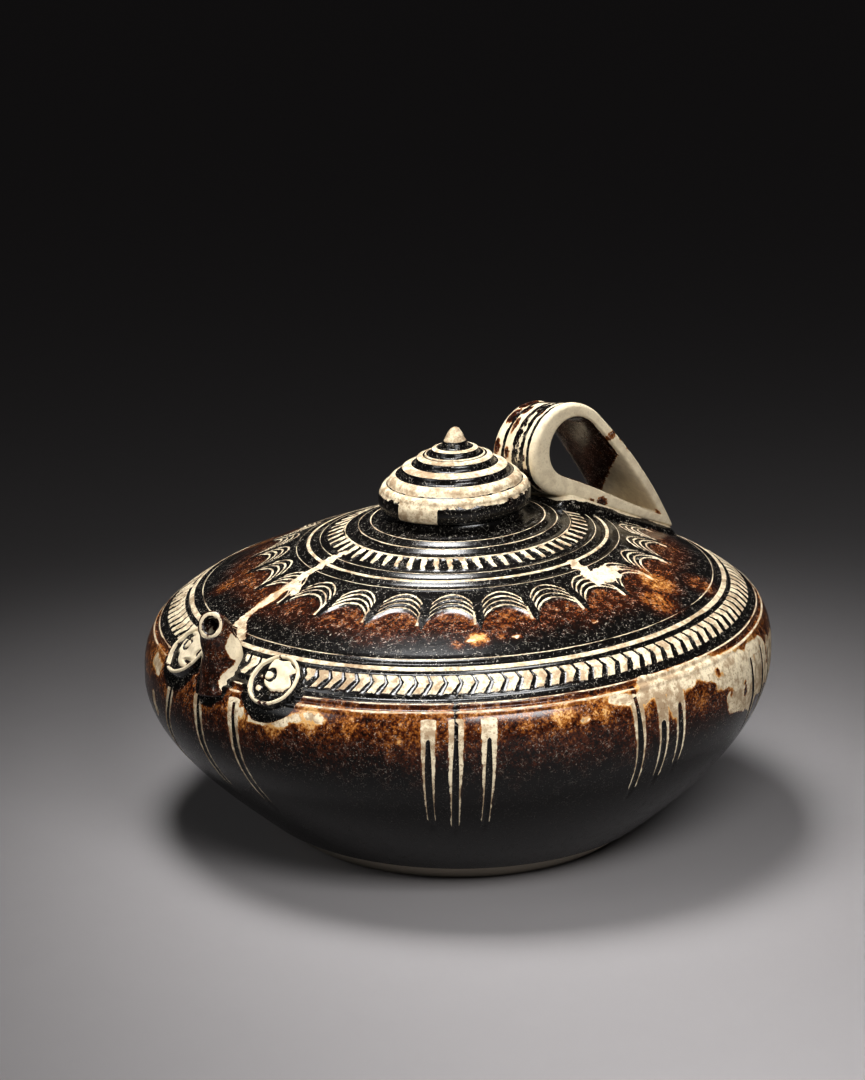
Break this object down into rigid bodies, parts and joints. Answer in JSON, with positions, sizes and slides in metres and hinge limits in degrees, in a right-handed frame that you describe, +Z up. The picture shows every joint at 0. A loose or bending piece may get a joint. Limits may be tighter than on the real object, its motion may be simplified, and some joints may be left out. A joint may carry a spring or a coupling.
{
  "type": "lenticular jar",
  "caption": "Squat lens-shaped glazed stoneware ewer with a strap loop handle, a small upright spout and a stepped conical lid.",
  "frame": {"origin": "centre of the flat base, on the surface that the jar stands on", "axes": "+Z up along the jar's turning axis, spout towards -X, handle towards +X"},
  "size_m": [0.2304, 0.23, 0.1535],
  "materials": {
    "brown_glaze": "dark brown-black glossy ash glaze, amber where thin, worn to buff clay on raised edges, finely crackled",
    "lid_glaze": "buff stoneware worn bare on its raised rings, with dark brown glaze left in the grooves"
  },
  "bodies": {
    "root": {"jar_body": "brown_glaze", "lid": "lid_glaze"}
  },
  "joints": []
}
